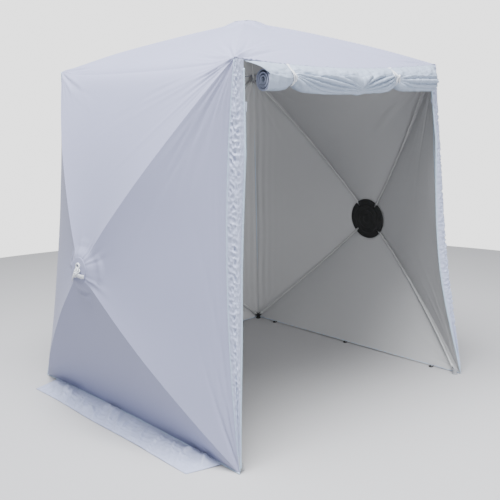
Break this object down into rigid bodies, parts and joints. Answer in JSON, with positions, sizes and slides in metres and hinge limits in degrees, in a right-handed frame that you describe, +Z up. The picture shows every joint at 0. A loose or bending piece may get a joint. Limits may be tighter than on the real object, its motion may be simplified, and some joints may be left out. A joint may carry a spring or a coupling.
{
  "type": "pop-up hub shelter",
  "caption": "Pop-up fabric shelter: hubbed walls on three sides and a hubbed roof, each on sprung poles, with an open front whose door is rolled up under the eave and ground skirts.",
  "frame": {"origin": "on the ground, at the middle of the whole footprint", "axes": "+Z up; +Y from the doorway to the back wall; +X to the right as seen through the doorway"},
  "size_m": [2.308, 2.0546, 2.097],
  "materials": {
    "shell_fabric": "coated nylon weave, satin",
    "fibreglass_pole": "grey fibreglass, semi-gloss",
    "hub_plastic": "black moulded nylon, fine texture",
    "hub_cap": "white moulded cap",
    "webbing": "white woven webbing",
    "dark_webbing": "black woven webbing",
    "binding": "white binding tape over cord",
    "fitting_plastic": "black moulded nylon",
    "zip_coil": "white nylon coil",
    "zip_metal": "white painted die casting"
  },
  "bodies": {
    "frame": {"bottom_corner_fittings": "fitting_plastic", "top_corner_fittings": "fitting_plastic", "corner_seams": "binding", "eave_seams": "binding", "ground_hems": "binding", "left_skirt": "shell_fabric", "back_skirt": "shell_fabric", "right_skirt": "shell_fabric", "peg_loops": "dark_webbing", "left_jamb": "shell_fabric", "right_jamb": "shell_fabric", "rolled_door": "shell_fabric", "door_ties": "webbing", "zip_chains": "zip_coil"},
    "left_hub": {"left_hub_disc": "hub_plastic", "left_hub_core": "hub_cap", "left_hub_pull": "webbing"},
    "left_panel_bottom": {"left_panel_bottom": "shell_fabric"},
    "left_panel_front": {"left_panel_front": "shell_fabric"},
    "left_panel_top": {"left_panel_top": "shell_fabric"},
    "left_panel_back": {"left_panel_back": "shell_fabric"},
    "left_pole_bottom_back": {"left_pole_bottom_back": "fibreglass_pole"},
    "left_pole_bottom_front": {"left_pole_bottom_front": "fibreglass_pole"},
    "left_pole_top_front": {"left_pole_top_front": "fibreglass_pole"},
    "left_pole_top_back": {"left_pole_top_back": "fibreglass_pole"},
    "back_hub": {"back_hub_disc": "hub_plastic", "back_hub_core": "hub_cap", "back_hub_pull": "webbing"},
    "back_panel_bottom": {"back_panel_bottom": "shell_fabric"},
    "back_panel_left": {"back_panel_left": "shell_fabric"},
    "back_panel_top": {"back_panel_top": "shell_fabric"},
    "back_panel_right": {"back_panel_right": "shell_fabric"},
    "back_pole_bottom_right": {"back_pole_bottom_right": "fibreglass_pole"},
    "back_pole_bottom_left": {"back_pole_bottom_left": "fibreglass_pole"},
    "back_pole_top_left": {"back_pole_top_left": "fibreglass_pole"},
    "back_pole_top_right": {"back_pole_top_right": "fibreglass_pole"},
    "right_hub": {"right_hub_disc": "hub_plastic", "right_hub_core": "hub_cap", "right_hub_pull": "webbing"},
    "right_panel_bottom": {"right_panel_bottom": "shell_fabric"},
    "right_panel_back": {"right_panel_back": "shell_fabric"},
    "right_panel_top": {"right_panel_top": "shell_fabric"},
    "right_panel_front": {"right_panel_front": "shell_fabric"},
    "right_pole_bottom_front": {"right_pole_bottom_front": "fibreglass_pole"},
    "right_pole_bottom_back": {"right_pole_bottom_back": "fibreglass_pole"},
    "right_pole_top_back": {"right_pole_top_back": "fibreglass_pole"},
    "right_pole_top_front": {"right_pole_top_front": "fibreglass_pole"},
    "roof_hub": {"roof_hub_disc": "hub_plastic", "roof_hub_core": "hub_cap", "roof_hub_pull": "webbing"},
    "roof_panel_front": {"roof_panel_front": "shell_fabric"},
    "roof_panel_right": {"roof_panel_right": "shell_fabric"},
    "roof_panel_back": {"roof_panel_back": "shell_fabric"},
    "roof_panel_left": {"roof_panel_left": "shell_fabric"},
    "roof_pole_front_left": {"roof_pole_front_left": "fibreglass_pole"},
    "roof_pole_front_right": {"roof_pole_front_right": "fibreglass_pole"},
    "roof_pole_back_right": {"roof_pole_back_right": "fibreglass_pole"},
    "roof_pole_back_left": {"roof_pole_back_left": "fibreglass_pole"},
    "left_zip_slider": {"left_zip_slider": "zip_metal"},
    "right_zip_slider": {"right_zip_slider": "zip_metal"}
  },
  "joints": [
    {"name": "left_hub_push", "type": "slide", "parent": "frame", "child": "left_hub", "axis": [-0.9968, 0, 0.0801], "range_m": [-0.62, 0]},
    {"name": "left_panel_bottom_fold", "type": "hinge", "parent": "frame", "child": "left_panel_bottom", "pos_m": [-0.89888, -0.12854, 0.01396], "axis": [0, -1, 0], "range_deg": [-41.97, 0]},
    {"name": "left_panel_front_fold", "type": "hinge", "parent": "frame", "child": "left_panel_front", "pos_m": [-0.82634, -0.94084, 0.91689], "axis": [0.0798, 0.0798, 0.9936], "range_deg": [-41.56, 0]},
    {"name": "left_panel_top_fold", "type": "hinge", "parent": "frame", "child": "left_panel_top", "pos_m": [-0.75362, -0.12854, 1.82204], "axis": [0, 1, 0], "range_deg": [-34.3, 0]},
    {"name": "left_panel_back_fold", "type": "hinge", "parent": "frame", "child": "left_panel_back", "pos_m": [-0.82634, 0.68375, 0.91689], "axis": [-0.0798, 0.0798, -0.9936], "range_deg": [-41.56, 0]},
    {"name": "left_pole_bottom_back_swing", "type": "hinge", "parent": "frame", "child": "left_pole_bottom_back", "pos_m": [-0.87682, 0.72717, 0.03875], "axis": [-0.0591, -0.6747, -0.7357], "range_deg": [-31.46, 0]},
    {"name": "left_pole_bottom_front_swing", "type": "hinge", "parent": "frame", "child": "left_pole_bottom_front", "pos_m": [-0.87682, -0.98425, 0.03875], "axis": [0.0591, -0.6747, 0.7357], "range_deg": [-31.46, 0]},
    {"name": "left_pole_top_front_swing", "type": "hinge", "parent": "frame", "child": "left_pole_top_front", "pos_m": [-0.73643, -0.8454, 1.78628], "axis": [0.0476, 0.8045, 0.592], "range_deg": [-30.22, 0]},
    {"name": "left_pole_top_back_swing", "type": "hinge", "parent": "frame", "child": "left_pole_top_back", "pos_m": [-0.73643, 0.58832, 1.78628], "axis": [-0.0476, 0.8045, -0.592], "range_deg": [-30.22, 0]},
    {"name": "back_hub_push", "type": "slide", "parent": "frame", "child": "back_hub", "axis": [0, 0.9968, 0.0801], "range_m": [-0.62, 0]},
    {"name": "back_panel_bottom_fold", "type": "hinge", "parent": "frame", "child": "back_panel_bottom", "pos_m": [0, 0.77034, 0.01396], "axis": [-1, 0, 0], "range_deg": [-41.97, 0]},
    {"name": "back_panel_left_fold", "type": "hinge", "parent": "frame", "child": "back_panel_left", "pos_m": [-0.81229, 0.6978, 0.91689], "axis": [0.0798, -0.0798, 0.9936], "range_deg": [-41.56, 0]},
    {"name": "back_panel_top_fold", "type": "hinge", "parent": "frame", "child": "back_panel_top", "pos_m": [0, 0.62508, 1.82204], "axis": [1, 0, 0], "range_deg": [-34.3, 0]},
    {"name": "back_panel_right_fold", "type": "hinge", "parent": "frame", "child": "back_panel_right", "pos_m": [0.81229, 0.6978, 0.91689], "axis": [0.0798, 0.0798, -0.9936], "range_deg": [-41.56, 0]},
    {"name": "back_pole_bottom_right_swing", "type": "hinge", "parent": "frame", "child": "back_pole_bottom_right", "pos_m": [0.85571, 0.74828, 0.03875], "axis": [-0.6747, 0.0591, -0.7357], "range_deg": [-31.46, 0]},
    {"name": "back_pole_bottom_left_swing", "type": "hinge", "parent": "frame", "child": "back_pole_bottom_left", "pos_m": [-0.85571, 0.74828, 0.03875], "axis": [-0.6747, -0.0591, 0.7357], "range_deg": [-31.46, 0]},
    {"name": "back_pole_top_left_swing", "type": "hinge", "parent": "frame", "child": "back_pole_top_left", "pos_m": [-0.71686, 0.60789, 1.78628], "axis": [0.8045, -0.0476, 0.592], "range_deg": [-30.22, 0]},
    {"name": "back_pole_top_right_swing", "type": "hinge", "parent": "frame", "child": "back_pole_top_right", "pos_m": [0.71686, 0.60789, 1.78628], "axis": [0.8045, 0.0476, -0.592], "range_deg": [-30.22, 0]},
    {"name": "right_hub_push", "type": "slide", "parent": "frame", "child": "right_hub", "axis": [0.9968, 0, 0.0801], "range_m": [-0.62, 0]},
    {"name": "right_panel_bottom_fold", "type": "hinge", "parent": "frame", "child": "right_panel_bottom", "pos_m": [0.89888, -0.12854, 0.01396], "axis": [0, 1, 0], "range_deg": [-41.97, 0]},
    {"name": "right_panel_back_fold", "type": "hinge", "parent": "frame", "child": "right_panel_back", "pos_m": [0.82634, 0.68375, 0.91689], "axis": [-0.0798, -0.0798, 0.9936], "range_deg": [-41.56, 0]},
    {"name": "right_panel_top_fold", "type": "hinge", "parent": "frame", "child": "right_panel_top", "pos_m": [0.75362, -0.12854, 1.82204], "axis": [0, -1, 0], "range_deg": [-34.3, 0]},
    {"name": "right_panel_front_fold", "type": "hinge", "parent": "frame", "child": "right_panel_front", "pos_m": [0.82634, -0.94084, 0.91689], "axis": [0.0798, -0.0798, -0.9936], "range_deg": [-41.56, 0]},
    {"name": "right_pole_bottom_front_swing", "type": "hinge", "parent": "frame", "child": "right_pole_bottom_front", "pos_m": [0.87682, -0.98425, 0.03875], "axis": [0.0591, 0.6747, -0.7357], "range_deg": [-31.46, 0]},
    {"name": "right_pole_bottom_back_swing", "type": "hinge", "parent": "frame", "child": "right_pole_bottom_back", "pos_m": [0.87682, 0.72717, 0.03875], "axis": [-0.0591, 0.6747, 0.7357], "range_deg": [-31.46, 0]},
    {"name": "right_pole_top_back_swing", "type": "hinge", "parent": "frame", "child": "right_pole_top_back", "pos_m": [0.73643, 0.58832, 1.78628], "axis": [-0.0476, -0.8045, 0.592], "range_deg": [-30.22, 0]},
    {"name": "right_pole_top_front_swing", "type": "hinge", "parent": "frame", "child": "right_pole_top_front", "pos_m": [0.73643, -0.8454, 1.78628], "axis": [0.0476, -0.8045, -0.592], "range_deg": [-30.22, 0]},
    {"name": "roof_hub_push", "type": "slide", "parent": "frame", "child": "roof_hub", "axis": [0, 0, 1], "range_m": [-0.506, 0]},
    {"name": "roof_panel_front_fold", "type": "hinge", "parent": "frame", "child": "roof_panel_front", "pos_m": [0, -0.86704, 1.836], "axis": [1, 0, 0], "range_deg": [-37.84, 0]},
    {"name": "roof_panel_right_fold", "type": "hinge", "parent": "frame", "child": "roof_panel_right", "pos_m": [0.7385, -0.12854, 1.836], "axis": [0, 1, 0], "range_deg": [-37.84, 0]},
    {"name": "roof_panel_back_fold", "type": "hinge", "parent": "frame", "child": "roof_panel_back", "pos_m": [0, 0.60996, 1.836], "axis": [-1, 0, 0], "range_deg": [-37.84, 0]},
    {"name": "roof_panel_left_fold", "type": "hinge", "parent": "frame", "child": "roof_panel_left", "pos_m": [-0.7385, -0.12854, 1.836], "axis": [0, -1, 0], "range_deg": [-37.84, 0]},
    {"name": "roof_pole_front_left_swing", "type": "hinge", "parent": "frame", "child": "roof_pole_front_left", "pos_m": [-0.71007, -0.83861, 1.816], "axis": [0.7071, -0.7071, 0], "range_deg": [-29.96, 0]},
    {"name": "roof_pole_front_right_swing", "type": "hinge", "parent": "frame", "child": "roof_pole_front_right", "pos_m": [0.71007, -0.83861, 1.816], "axis": [0.7071, 0.7071, 0], "range_deg": [-29.96, 0]},
    {"name": "roof_pole_back_right_swing", "type": "hinge", "parent": "frame", "child": "roof_pole_back_right", "pos_m": [0.71007, 0.58153, 1.816], "axis": [-0.7071, 0.7071, 0], "range_deg": [-29.96, 0]},
    {"name": "roof_pole_back_left_swing", "type": "hinge", "parent": "frame", "child": "roof_pole_back_left", "pos_m": [-0.71007, 0.58153, 1.816], "axis": [-0.7071, -0.7071, 0], "range_deg": [-29.96, 0]},
    {"name": "left_zip_slide", "type": "slide", "parent": "frame", "child": "left_zip_slider", "axis": [0.1023, 0.0797, 0.9916], "range_m": [-1.5848, 0]},
    {"name": "right_zip_slide", "type": "slide", "parent": "frame", "child": "right_zip_slider", "axis": [-0.1023, 0.0797, 0.9916], "range_m": [-1.5848, 0]}
  ],
  "couplings": [
    {"joint": "left_panel_bottom_fold", "follows": "left_hub_push", "rad_per_m": 1.1809},
    {"joint": "left_panel_front_fold", "follows": "left_hub_push", "rad_per_m": 1.1693},
    {"joint": "left_panel_top_fold", "follows": "left_hub_push", "rad_per_m": 0.96491},
    {"joint": "left_panel_back_fold", "follows": "left_hub_push", "rad_per_m": 1.1693},
    {"joint": "left_pole_bottom_back_swing", "follows": "left_hub_push", "rad_per_m": 0.8851},
    {"joint": "left_pole_bottom_front_swing", "follows": "left_hub_push", "rad_per_m": 0.8851},
    {"joint": "left_pole_top_front_swing", "follows": "left_hub_push", "rad_per_m": 0.85011},
    {"joint": "left_pole_top_back_swing", "follows": "left_hub_push", "rad_per_m": 0.85011},
    {"joint": "back_panel_bottom_fold", "follows": "back_hub_push", "rad_per_m": 1.1809},
    {"joint": "back_panel_left_fold", "follows": "back_hub_push", "rad_per_m": 1.1693},
    {"joint": "back_panel_top_fold", "follows": "back_hub_push", "rad_per_m": 0.96491},
    {"joint": "back_panel_right_fold", "follows": "back_hub_push", "rad_per_m": 1.1693},
    {"joint": "back_pole_bottom_right_swing", "follows": "back_hub_push", "rad_per_m": 0.8851},
    {"joint": "back_pole_bottom_left_swing", "follows": "back_hub_push", "rad_per_m": 0.8851},
    {"joint": "back_pole_top_left_swing", "follows": "back_hub_push", "rad_per_m": 0.85011},
    {"joint": "back_pole_top_right_swing", "follows": "back_hub_push", "rad_per_m": 0.85011},
    {"joint": "right_panel_bottom_fold", "follows": "right_hub_push", "rad_per_m": 1.1809},
    {"joint": "right_panel_back_fold", "follows": "right_hub_push", "rad_per_m": 1.1693},
    {"joint": "right_panel_top_fold", "follows": "right_hub_push", "rad_per_m": 0.96491},
    {"joint": "right_panel_front_fold", "follows": "right_hub_push", "rad_per_m": 1.1693},
    {"joint": "right_pole_bottom_front_swing", "follows": "right_hub_push", "rad_per_m": 0.8851},
    {"joint": "right_pole_bottom_back_swing", "follows": "right_hub_push", "rad_per_m": 0.8851},
    {"joint": "right_pole_top_back_swing", "follows": "right_hub_push", "rad_per_m": 0.85011},
    {"joint": "right_pole_top_front_swing", "follows": "right_hub_push", "rad_per_m": 0.85011},
    {"joint": "roof_panel_front_fold", "follows": "roof_hub_push", "rad_per_m": 1.3046},
    {"joint": "roof_panel_right_fold", "follows": "roof_hub_push", "rad_per_m": 1.3046},
    {"joint": "roof_panel_back_fold", "follows": "roof_hub_push", "rad_per_m": 1.3046},
    {"joint": "roof_panel_left_fold", "follows": "roof_hub_push", "rad_per_m": 1.3046},
    {"joint": "roof_pole_front_left_swing", "follows": "roof_hub_push", "rad_per_m": 1.0327},
    {"joint": "roof_pole_front_right_swing", "follows": "roof_hub_push", "rad_per_m": 1.0327},
    {"joint": "roof_pole_back_right_swing", "follows": "roof_hub_push", "rad_per_m": 1.0327},
    {"joint": "roof_pole_back_left_swing", "follows": "roof_hub_push", "rad_per_m": 1.0327}
  ]
}
